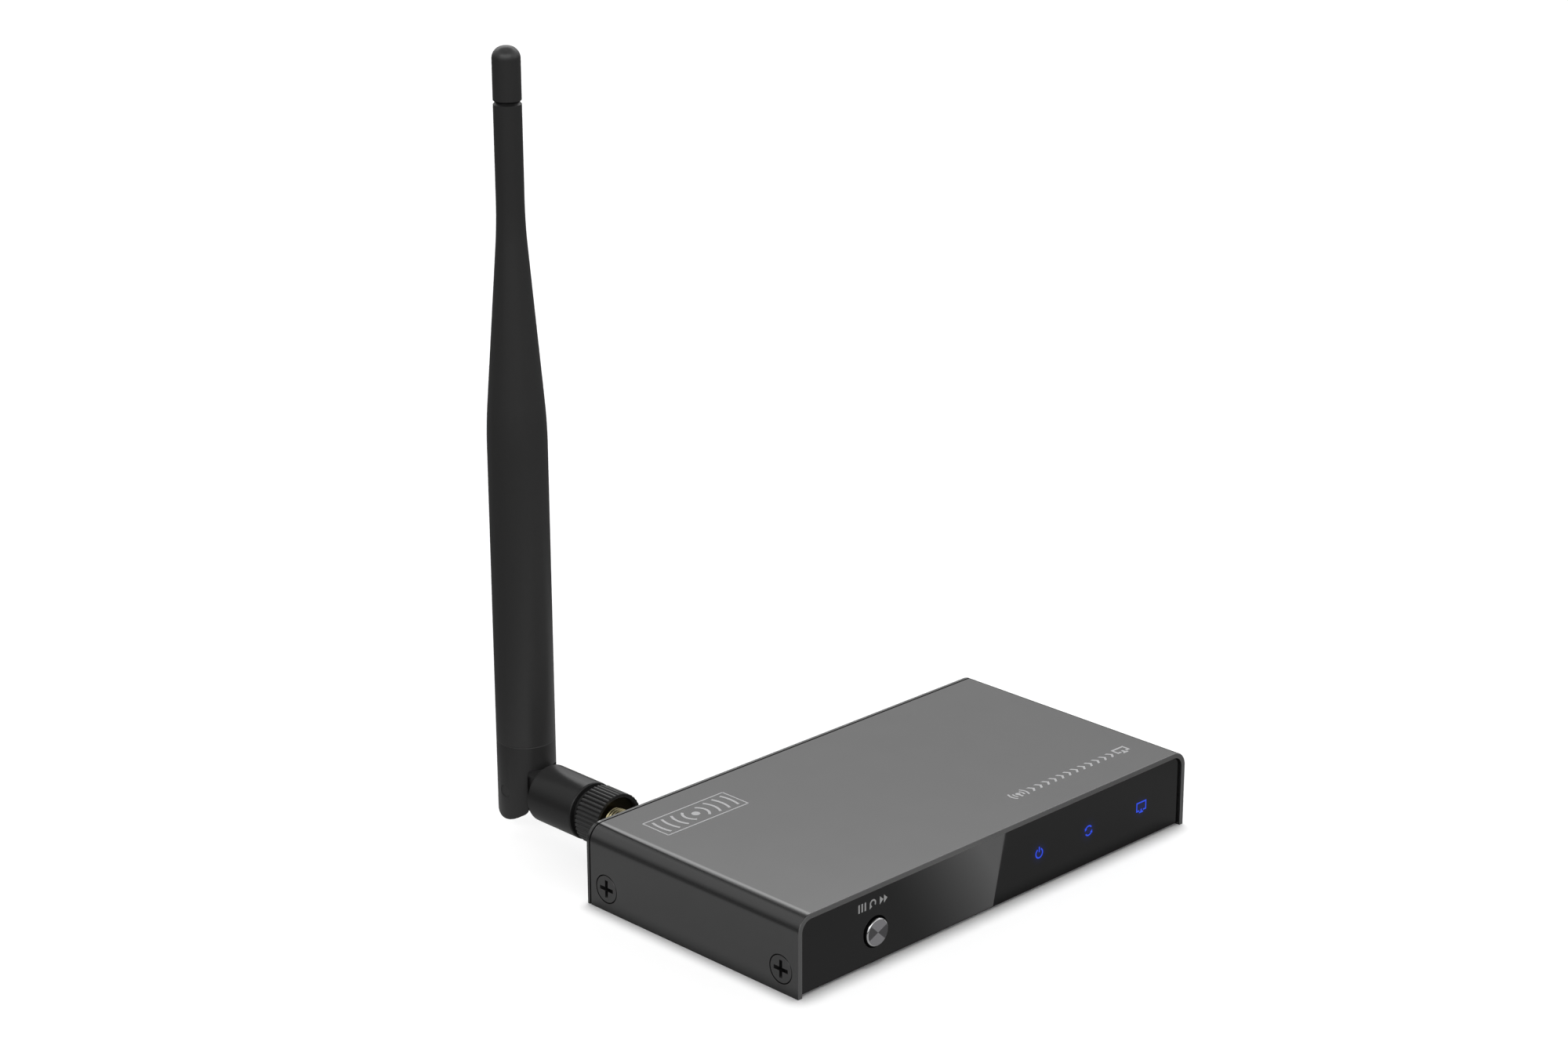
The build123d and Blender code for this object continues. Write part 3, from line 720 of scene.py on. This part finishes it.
def antennaJack(look):
    low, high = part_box("antenna_jack_body")
    x, z = (low.x + high.x) / 2, (low.z + high.z) / 2
    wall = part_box("base_tray")[1].y - 0.8 * mm
    radius, start, inner = look["radius"], wall - 0.1 * mm, look["bore"]
    turns = ceil((high.y - start) / look["pitch"] * look["stepsPerTurn"])
    thread = [(radius, start + (high.y - start) * index / turns) for index in range(turns + 1)]
    outline = [(inner, low.y), (2.4 * mm, low.y), (2.4 * mm, start - 0.2 * mm), *thread,
               (2.34 * mm, high.y), (2.34 * mm, high.y - 2 * mm), (inner, high.y - 2 * mm)]
    jack = lathe("antennaJackBody", outline, alongY(x, z), 72, closed=True, sharpAngle=50)
    runTree(jack, grooveWave, grooveInputs, {
        "Centre X": x, "Centre Z": z, "Turns": 1.0, "Per Metre Along": 1 / look["pitch"],
        "Per Metre Outward": 0.0, "Phase": 0.0, "Depth": look["depth"], "Narrowness": 0.8,
        "Inner Radius": 3.0 * mm, "Outer Radius": 3.3 * mm, "Front": start + 0.4 * mm,
        "Rear": high.y + 0.1 * mm, "Fade": 0.5 * mm, "Axial": 0.0, "Material": finishes["gold_brass"],
    }, 50)
    across = look["hexAcross"] / 3 ** 0.5
    hexagon = [(across * cos(k * pi / 3), across * sin(k * pi / 3)) for k in range(6)]
    hexagon = rounded(hexagon, {k: 0.2 * mm for k in range(6)}, 3, closed=True)
    flange = slabOf("flange", hexagon, alongY(x, z) @ Matrix.Translation((0, 0, low.y + look["hexFrom"])),
                    start - low.y - look["hexFrom"])
    bore = lathe("bore", [(0, low.y), (2.1 * mm, low.y), (2.1 * mm, start + mm), (0, start + mm)],
                 alongY(x, z), 72)
    join("DIFFERENCE", flange, bore)
    join("UNION", jack, flange, sharpAngle=50)
    return place(jack, finishes["gold_brass"], "gold_brass", "receiver", "antenna_jack_body")


def couplingNut(look):
    low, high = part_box("coupling_nut_shell")
    x, z = (low.x + high.x) / 2, (low.z + high.z) / 2
    radius, front, rear = (high.x - low.x) / 2, low.y, high.y
    mouth = radius - look["rimWidth"]
    corners = [(mouth, front), (radius, front), (radius, rear), (look["bore"], rear),
               (look["bore"], front + 1.8 * mm), (mouth - 0.05 * mm, front + 1.8 * mm)]
    outline = rounded(corners, {0: 0.12 * mm, 1: look["endRound"], 2: look["endRound"], 3: 0.2 * mm},
                      5, closed=True)
    nut = lathe("couplingNutShell", outline, alongY(x, z), look["ridges"] * 12, closed=True)
    runTree(nut, grooveWave, grooveInputs, {
        "Centre X": x, "Centre Z": z, "Turns": float(look["ridges"]), "Per Metre Along": 0.0,
        "Per Metre Outward": 0.0, "Phase": -look["crestAt"] * look["ridges"] / 360,
        "Depth": look["depth"], "Narrowness": look["sharpness"], "Inner Radius": radius - 0.10 * mm,
        "Outer Radius": radius + mm, "Front": front - 0.1 * mm, "Rear": rear + 0.1 * mm,
        "Fade": 0.1 * mm, "Axial": 0.0, "Material": finishes["nut_black"],
    }, 40)
    return place(nut, None, "nut_black", "coupling_nut", "coupling_nut_shell")


antennaJack(jackLook)
couplingNut(nutLook)
print("jack and nut done")


# antenna elbow, knuckle and whip
elbowLook = {"neck": 5.3 * mm, "neckEnd": 1.3 * mm, "frontRound": 0.35 * mm, "rearRound": 0.3 * mm,
             "bore": 2.35 * mm, "boreDepth": 3.4 * mm, "tongueHalf": 3.7 * mm, "tongueRadius": 4.2 * mm,
             "pinHole": 1.45 * mm, "barrelRear": 64.15 * mm}
knuckleLook = {"slotHalf": 4.1 * mm, "slotTop": 5.5 * mm, "seam": 11.0 * mm, "pinHole": 1.42 * mm,
               "spigot": 5.1 * mm, "spigotTop": 19.0 * mm}
whipLook = {"seam": 11.0 * mm, "coneLow": 83.2 * mm, "coneHigh": 127.0 * mm, "blend": 126 * mm,
            "tipRadius": 3.02 * mm, "groove": 152.9 * mm, "grooveDepth": 0.45 * mm,
            "top": 164.6 * mm, "domeRound": 2.62 * mm}


def hingeSpot():
    low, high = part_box("hinge_pin")
    return (low + high) / 2


def pinCutter(spot, radius, reach):
    outline = [(0, -reach), (radius, -reach), (radius, reach), (0, reach)]
    return lathe("hole", outline, Matrix.Translation(spot) @ Matrix.Rotation(pi / 2, 4, "Y"), 64)


def elbowBase(look):
    low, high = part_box("elbow_base")
    spot = hingeSpot()
    radius = (high.z - low.z) / 2
    shoulder, rear = low.y + look["neckEnd"], look["barrelRear"]
    depth = low.y + look["boreDepth"]
    corners = [(0, depth), (look["bore"], depth), (look["bore"], low.y), (look["neck"], low.y),
               (look["neck"], shoulder), (radius, shoulder), (radius, rear), (0, rear)]
    outline = rounded(corners, {5: look["frontRound"], 6: look["rearRound"]}, 8)
    elbow = lathe("elbowBase", outline, alongY(spot.x, spot.z), 160)
    start, size = rear - 1.5 * mm, look["tongueRadius"]
    side = [(start, -size), (spot.y, -size)]
    side += [(spot.y + size * sin(k * pi / 48), -size * cos(k * pi / 48)) for k in range(1, 48)]
    side += [(spot.y, size), (start, size)]
    tongueSpot = Matrix.Translation((spot.x - look["tongueHalf"], 0, spot.z))
    tongue = slabOf("tongue", side, tongueSpot @ drawnInYZ, 2 * look["tongueHalf"])
    softenEdges(tongue, 0.3 * mm)
    join("UNION", elbow, tongue)
    hole = pinCutter(spot, look["pinHole"], 6 * mm)
    join("DIFFERENCE", elbow, hole)
    return place(elbow, finishes["elbow_black"], "elbow_black", "antenna_elbow", "elbow_base")


def hingeKnuckle(look):
    spot = hingeSpot()
    low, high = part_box("hinge_knuckle")
    radius = (high.x - low.x) / 2
    column = lathe("hingeKnuckle", rounded([(0, -radius), (radius, -radius), (radius, look["seam"]),
                                            (0, look["seam"])], {2: 0.14 * mm}, 3),
                   Matrix.Translation(spot), 160)
    side = [(-radius, look["seam"] + mm), (-radius, 0)]
    side += [(-radius * cos(k * pi / 64), -radius * sin(k * pi / 64)) for k in range(1, 64)]
    side += [(radius, 0), (radius, look["seam"] + mm)]
    form = slabOf("form", side, Matrix.Translation((spot.x - 8 * mm, spot.y, spot.z)) @ drawnInYZ, 16 * mm)
    join("INTERSECT", column, form)
    softenEdges(column, 0.25 * mm, 3, 40)
    half = look["slotHalf"]
    gap = [(-half, -8 * mm), (half, -8 * mm), (half, look["slotTop"]), (-half, look["slotTop"])]
    gap = rounded(gap, {2: 0.5 * mm, 3: 0.5 * mm}, 5, closed=True)
    slot = slabOf("slot", gap, Matrix.Translation(spot + Vector((0, 8 * mm, 0))) @ drawnInXZ, 16 * mm)
    hole = pinCutter(spot, look["pinHole"], 9 * mm)
    join("DIFFERENCE", column, slot, hole)
    spigot = lathe("spigot", [(0, look["seam"] - mm), (look["spigot"], look["seam"] - mm),
                              (look["spigot"], look["spigotTop"]), (0, look["spigotTop"])],
                   Matrix.Translation(spot), 96)
    join("UNION", column, spigot)
    return place(column, finishes["knuckle_black"], "knuckle_black", "antenna_whip", "hinge_knuckle")


def whipSleeve(look):
    spot = hingeSpot()
    low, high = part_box("whip_sleeve")
    radius, tip, lip = (high.x - low.x) / 2, look["tipRadius"], look["grooveDepth"]
    taper = rounded([(radius, look["seam"] + mm), (radius, look["coneLow"]), (tip, look["coneHigh"]),
                     (tip, look["groove"] - lip - 0.2 * mm)], {1: look["blend"], 2: look["blend"]}, 28)
    outline = [(radius - 0.14 * mm, look["seam"]), (radius, look["seam"] + 0.14 * mm),
               (radius, look["seam"] + 0.2 * mm), *taper, (tip, look["groove"] - lip),
               (tip - lip, look["groove"]), (1.9 * mm, look["groove"]), (1.9 * mm, 124 * mm),
               (5.15 * mm, 80 * mm), (5.15 * mm, look["seam"])]
    sleeve = lathe("whipSleeve", outline, Matrix.Translation(spot), 160, closed=True, sharpAngle=25)
    return place(sleeve, finishes["whip_black"], "whip_black", "antenna_whip", "whip_sleeve")


def whipTipCap(look):
    spot = hingeSpot()
    tip, lip, groove = look["tipRadius"], look["grooveDepth"], look["groove"]
    dome = rounded([(tip, groove + lip + 0.2 * mm), (tip, look["top"]), (0, look["top"])],
                   {1: look["domeRound"]}, 20)
    outline = [(0, groove - 4 * mm), (1.85 * mm, groove - 4 * mm), (1.85 * mm, groove), (tip - lip, groove),
               (tip, groove + lip), *dome]
    cap = lathe("whipTipCap", outline, Matrix.Translation(spot), 160, sharpAngle=25)
    return place(cap, finishes["whip_black"], "whip_black", "antenna_whip", "whip_tip_cap")


elbowBase(elbowLook)
hingeKnuckle(knuckleLook)
whipSleeve(whipLook)
whipTipCap(whipLook)
print("antenna done")


# printed marks and lamp signs, each a thin closed plate, drawn in mm
def arcBand(x, y, radius, start, end, width, steps=24):
    def run(reach, first, last):
        turns = [radians(first + (last - first) * k / steps) for k in range(steps + 1)]
        return [(x + reach * cos(turn), y + reach * sin(turn)) for turn in turns]

    return run(radius + width / 2, start, end) + run(radius - width / 2, end, start)


def bar(x0, y0, x1, y1, width):
    length = hypot(x1 - x0, y1 - y0)
    sideX, sideY = -(y1 - y0) / length * width / 2, (x1 - x0) / length * width / 2
    return [(x0 - sideX, y0 - sideY), (x1 - sideX, y1 - sideY),
            (x1 + sideX, y1 + sideY), (x0 + sideX, y0 + sideY)]


def dot(x, y, radius):
    return [(x + radius * cos(k * pi / 12), y + radius * sin(k * pi / 12)) for k in range(24)]


def arrowTip(x, y, heading, size):
    turn = radians(heading)
    corners = [(size, 0), (-size * 0.35, size * 0.8), (-size * 0.35, -size * 0.8)]
    return [(x + a * cos(turn) - b * sin(turn), y + a * sin(turn) + b * cos(turn)) for a, b in corners]


def signPlate(name, shapes, place, thick):
    # neighbours differ slightly in height, so that crossing strokes never lie flush
    work = bmesh.new()
    for index, shape in enumerate(shapes):
        outline = [(a * mm, b * mm) for a, b in shape]
        part = slabOf(name, outline, place, thick * mm * (1 + 0.1 * (index % 3)))
        work.from_mesh(part.data)
        bpy.data.objects.remove(part)
    mesh = bpy.data.meshes.new(name)
    work.to_mesh(mesh)
    work.free()
    plate = bpy.data.objects.new(name, mesh)
    bpy.context.scene.collection.objects.link(plate)
    tidyMesh(plate)
    return plate


def onTop():
    return Matrix.Translation((0, 0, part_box("top_cover")[1].z - 0.005 * mm))


def onFront():
    return Matrix.Translation((0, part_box("front_panel")[0].y + 0.005 * mm, 0)) @ drawnInXZ


markLook = {"thick": 0.018, "wavesAt": (-39.65, 19.55), "rowAt": (13.2, 51.4, -21.85),
            "resetAt": (-38.2, 13.6)}
lampSignLook = {"thick": 0.02, "stroke": 0.32}


def radioWaves(x, y):
    # a sending dot and its waves inside a thin frame
    wide, high, line = 11.5, 3.95, 0.32
    shapes = [bar(x - wide, y + side * high, x + wide, y + side * high, line) for side in (-1, 1)]
    shapes += [bar(x + side * wide, y - high, x + side * wide, y + high, line) for side in (-1, 1)]
    shapes.append(dot(x, y, 0.95))
    for middle in (0, 180):
        for radius, half in ((2.9, 52), (5.3, 31), (7.7, 21.5), (10.1, 16.5)):
            shapes.append(arcBand(x, y, radius, middle - half, middle + half, 0.6))
    return shapes


def topRow(left, right, y):
    # antenna with waves, a run of chevrons, a screen: signal in, picture out
    pole = left + 2.6
    shapes = [bar(pole, y - 1.2, pole, y + 0.2, 0.5), dot(pole, y + 0.3, 0.55)]
    for side in (0, 180):
        shapes += [arcBand(pole, y + 0.1, radius, side - 40, side + 40, 0.42) for radius in (1.25, 2.25)]
    first, last, count = left + 6.8, right - 5.6, 12
    chevron = [(-0.75, 1.1), (-0.1, 1.1), (0.75, 0), (-0.1, -1.1), (-0.75, -1.1), (0.1, 0)]
    for index in range(count):
        middle = first + (last - first) * index / (count - 1)
        shapes.append([(middle + a, y + b) for a, b in chevron])
    shapes += screenShapes(right - 1.9, y + 0.3, 3.5, 1.8, 0.5)
    return shapes


def screenShapes(x, y, width, height, stroke):
    # a screen outline, open at the foot, with a small stand
    left, right, low, high = x - width / 2, x + width / 2, y - height / 2, y + height / 2
    foot = width * 0.22
    return [bar(left - stroke / 2, high, right + stroke / 2, high, stroke),
            bar(left, low, left, high, stroke), bar(right, low, right, high, stroke),
            bar(left - stroke / 2, low, x - foot, low, stroke),
            bar(x + foot, low, right + stroke / 2, low, stroke),
            bar(x, low + stroke, x, low - stroke * 0.9, stroke * 1.2),
            bar(x - foot, low - stroke * 1.3, x + foot, low - stroke * 1.3, stroke)]


def resetSign(x, z):
    # a turning arrow between a stop and a start sign
    tip = [(x - 0.95, z - 0.35), (x - 0.95, z - 1.05), (x - 0.2, z - 0.62)]
    shapes = [arcBand(x, z, 0.74, -35, 235, 0.36), tip]
    for offset in (-4.0, -3.1, -2.2):
        shapes.append(bar(x + offset, z - 0.92, x + offset, z + 0.92, 0.42))
    for offset in (2.0, 3.2):
        shapes.append([(x + offset, z - 0.92), (x + offset + 1.0, z), (x + offset, z + 0.92)])
    return shapes


def powerSign(x, z, stroke):
    return [arcBand(x, z, 1.05, 120, 420, stroke, 40), bar(x, z + 0.25, x, z + 1.5, stroke)]


def syncSign(x, z, stroke):
    shapes = []
    for start in (35, 215):
        shapes.append(arcBand(x, z, 1.08, start, start + 110, stroke))
        tip = radians(start + 118)
        shapes.append(arrowTip(x + 1.08 * cos(tip), z + 1.08 * sin(tip), start + 210, 0.5))
    return shapes


def printedMarks(look):
    waves = signPlate("markWaves", radioWaves(*look["wavesAt"]), onTop(), look["thick"])
    row = signPlate("markRow", topRow(*look["rowAt"]), onTop(), look["thick"])
    reset = signPlate("markReset", resetSign(*look["resetAt"]), onFront(), look["thick"])
    for plate in (waves, row):
        place(plate, finishes["mark_print"], "mark_print", "receiver")
    place(reset, finishes["panelPrint"], "mark_print", "receiver")


def lampSigns(look):
    centres, height, stroke = panelLook["lights"], panelLook["lightHeight"], look["stroke"]
    signs = {"lampPower": powerSign(centres[0], height - 0.1, stroke),
             "lampSync": syncSign(centres[1], height, stroke),
             "lampScreen": screenShapes(centres[2], height + 0.2, 3.0, 1.9, stroke)}
    for name, shapes in signs.items():
        plate = signPlate(name, shapes, onFront(), look["thick"])
        place(plate, finishes["status_light"], "status_light", "receiver")


printedMarks(markLook)
lampSigns(lampSignLook)
print("marks done")


# studio
cameraLook = {"place": (-0.49147, -0.46528, 0.31564), "yaw": 44.597, "down": 19.379, "roll": -0.139,
              "lens": 79.02, "sensor": 36.0}
studioLook = {"overhead": 2.4, "overheadSize": 20, "lean": (5.5, 4.0), "floorSize": 4.0, "floorSeen": 0.99,
              "floorMirrored": 0.28, "floorNear": 0.085, "floorFar": 0.16, "dark": 0.06, "wall": 0.81,
              "strip": 2.35, "backBox": 0.42, "sideBox": 0.45, "surroundShare": 0.8}
cardLook = {"light": 1.42, "base": 0.315, "edgeNear": (-1.2, -31.45), "edgeFar": (28.2, -54.3),
            "low": -26.0, "high": 4.5, "bend": 1.65, "slope": 0.64}


def makeCamera(look):
    data = bpy.data.cameras.new("camera")
    data.lens, data.sensor_width = look["lens"], look["sensor"]
    data.clip_start, data.clip_end = 0.01, 50
    camera = bpy.data.objects.new("camera", data)
    bpy.context.scene.collection.objects.link(camera)
    turn = Matrix.Rotation(-radians(look["yaw"]), 4, "Z")
    tilt = Matrix.Rotation(radians(90 - look["down"]), 4, "X")
    roll = Matrix.Rotation(radians(look["roll"]), 4, "Z")
    camera.matrix_world = Matrix.Translation(look["place"]) @ turn @ tilt @ roll
    bpy.context.scene.camera = camera


def makeOverhead(look):
    # a high soft key for the ground shadow; the surround alone shades the ground below the antenna
    data = bpy.data.lights.new("overhead", "SUN")
    data.energy, data.angle = look["overhead"], radians(look["overheadSize"])
    light = bpy.data.objects.new("overhead", data)
    across, back = look["lean"]
    light.rotation_euler = (-radians(back), radians(across), 0)
    light.visible_glossy = False
    bpy.context.scene.collection.objects.link(light)
    blockers = bpy.data.collections.new("groundShadow")
    for piece in bpy.context.scene.objects:
        if piece.get("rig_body") in ("receiver", "reset_button"):
            blockers.objects.link(piece)
    light.light_linking.blocker_collection = blockers


def makeSurround(look):
    # plain white behind the object; softboxes round it for everything but the camera
    world = bpy.data.worlds.new("surround")
    world.use_nodes = True
    bpy.context.scene.world = world
    graph = Graph(world.node_tree)
    x, y, z = graph.split(graph.add("ShaderNodeTexCoord", out="Generated"))
    flat = graph.calc("MAXIMUM", 1 - z * z, 1e-6) ** 0.5
    diagonal = graph.calc("ABSOLUTE", (x + y) / flat) / 2 ** 0.5
    wallSide = graph.rise(diagonal, 0.5, 0.78)

    def tall(low, high, soft):
        return graph.band(z, sin(radians(low)), sin(radians(high)), sin(radians(soft)))

    light = look["dark"] + wallSide * tall(4, 30, 2) * (look["wall"] - look["dark"])
    light = light + wallSide * tall(28.5, 43, 4) * look["strip"]
    climb = graph.rise(z, sin(radians(-2)), sin(radians(30))) * (1 - graph.rise(z, 0.76, 0.85))
    light = light + (1 - wallSide) * climb * (look["backBox"] - look["dark"])
    frontRight = graph.rise((x - y) / flat / 2 ** 0.5, 0.80, 0.95)
    light = light + frontRight * tall(2, 34, 3) * look["sideBox"]
    share = 1 - graph.add("ShaderNodeLightPath", out="Is Diffuse Ray") * (1 - look["surroundShare"])
    light = light * share
    dim = graph.add("ShaderNodeBackground", None, {"Strength": light})
    white = graph.add("ShaderNodeBackground", None, {"Strength": 1.0, "Color": grey(1.0)})
    seen = graph.add("ShaderNodeLightPath", out="Is Camera Ray")
    both = graph.add("ShaderNodeMixShader", None, {"Fac": seen, 1: dim, 2: white})
    graph.add("ShaderNodeOutputWorld", None, {"Surface": both})


def makeFloor(look):
    material, graph = newMaterial("studioFloor")
    seen = graph.add("ShaderNodeLightPath", out="Is Camera Ray")
    bright = graph.add("ShaderNodeBsdfDiffuse", None, {"Color": grey(look["floorSeen"])})
    x, y = graph.split(objectSpot(graph))[:2]
    away = graph.rise((x * x + y * y) ** 0.5, look["floorNear"], look["floorFar"])
    mirrored = graph.mix(away, grey(look["floorMirrored"]), grey(look["floorMirrored"] * 0.3))
    dim = graph.add("ShaderNodeBsdfDiffuse", None, {"Color": mirrored})
    showSurface(graph, graph.add("ShaderNodeMixShader", None, {"Fac": seen, 1: dim, 2: bright}))
    size = look["floorSize"]
    outline = [(size * cos(k * pi / 32), size * sin(k * pi / 32)) for k in range(64)]
    floor = slabOf("studioFloor", outline, Matrix.Translation((0, 0, -2 * mm)), 2 * mm)
    floor.data.materials.append(material)


def makeCard(look):
    # a graded reflector lying in front of the panel, seen only in gloss
    material, graph = newMaterial("sheenCard")
    x, y = graph.split(objectSpot(graph))[:2]
    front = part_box("front_panel")[0].y
    climb = x / mm + (y - front) / mm * look["slope"]
    part = graph.add("ShaderNodeMapRange", None, {
        "Value": climb, "From Min": look["low"], "From Max": look["high"]})
    glow = look["base"] + part ** look["bend"] * (look["light"] - look["base"])
    showSurface(graph, graph.add("ShaderNodeEmission", None, {"Strength": glow}))
    near, far = Vector(look["edgeNear"]), Vector(look["edgeFar"])
    reach = far + (far - near) * 0.2
    outline = [near, reach, Vector((-75, reach.y)), Vector((-75, near.y))]
    card = slabOf("sheenCard", [(p.x * mm, p.y * mm) for p in outline],
                  Matrix.Translation((0, 0, 0.02 * mm)), 0.02 * mm)
    card.data.materials.append(material)
    card.visible_camera = card.visible_diffuse = card.visible_shadow = card.visible_transmission = False


makeCamera(cameraLook)
makeOverhead(studioLook)
makeSurround(studioLook)
makeFloor(studioLook)
makeCard(cardLook)
bpy.context.scene.view_settings.view_transform = "Standard"
print("studio done")
